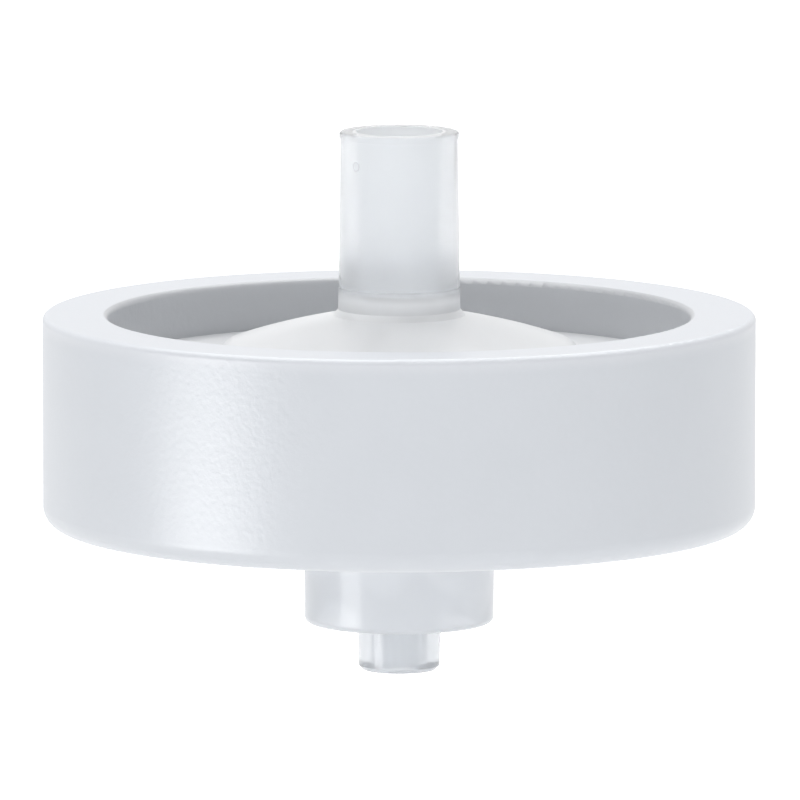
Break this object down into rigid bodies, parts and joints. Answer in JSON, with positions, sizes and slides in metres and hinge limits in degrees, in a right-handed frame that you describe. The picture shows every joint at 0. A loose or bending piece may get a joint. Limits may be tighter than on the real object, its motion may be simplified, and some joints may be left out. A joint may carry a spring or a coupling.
{
  "type": "membrane adsorber",
  "caption": "Disposable disc adsorber: a stack of membranes between two translucent housings, gripped by a milky moulded ring, with a luer socket above and a luer lock below.",
  "frame": {"origin": "centre of the inlet luer socket's mouth, on the flow axis", "axes": "+Z along the flow axis, from the outlet tip up to the inlet's mouth; X and Y across the disc"},
  "size_m": [0.035, 0.035, 0.0266],
  "materials": {
    "milky_polypropylene": "semi-gloss, milky white moulded polypropylene",
    "clear_polypropylene": "glossy, cloudy natural polypropylene that shows its inside dimly",
    "cellulose_membrane": "matt, finely porous white sheet"
  },
  "bodies": {
    "root": {"body_ring": "milky_polypropylene", "inlet_housing": "clear_polypropylene", "outlet_housing": "clear_polypropylene", "membrane_01": "cellulose_membrane", "membrane_02": "cellulose_membrane", "membrane_03": "cellulose_membrane", "membrane_04": "cellulose_membrane", "membrane_05": "cellulose_membrane", "membrane_06": "cellulose_membrane", "membrane_07": "cellulose_membrane", "membrane_08": "cellulose_membrane", "membrane_09": "cellulose_membrane", "membrane_10": "cellulose_membrane", "membrane_11": "cellulose_membrane", "membrane_12": "cellulose_membrane", "membrane_13": "cellulose_membrane", "membrane_14": "cellulose_membrane", "membrane_15": "cellulose_membrane"}
  },
  "joints": []
}
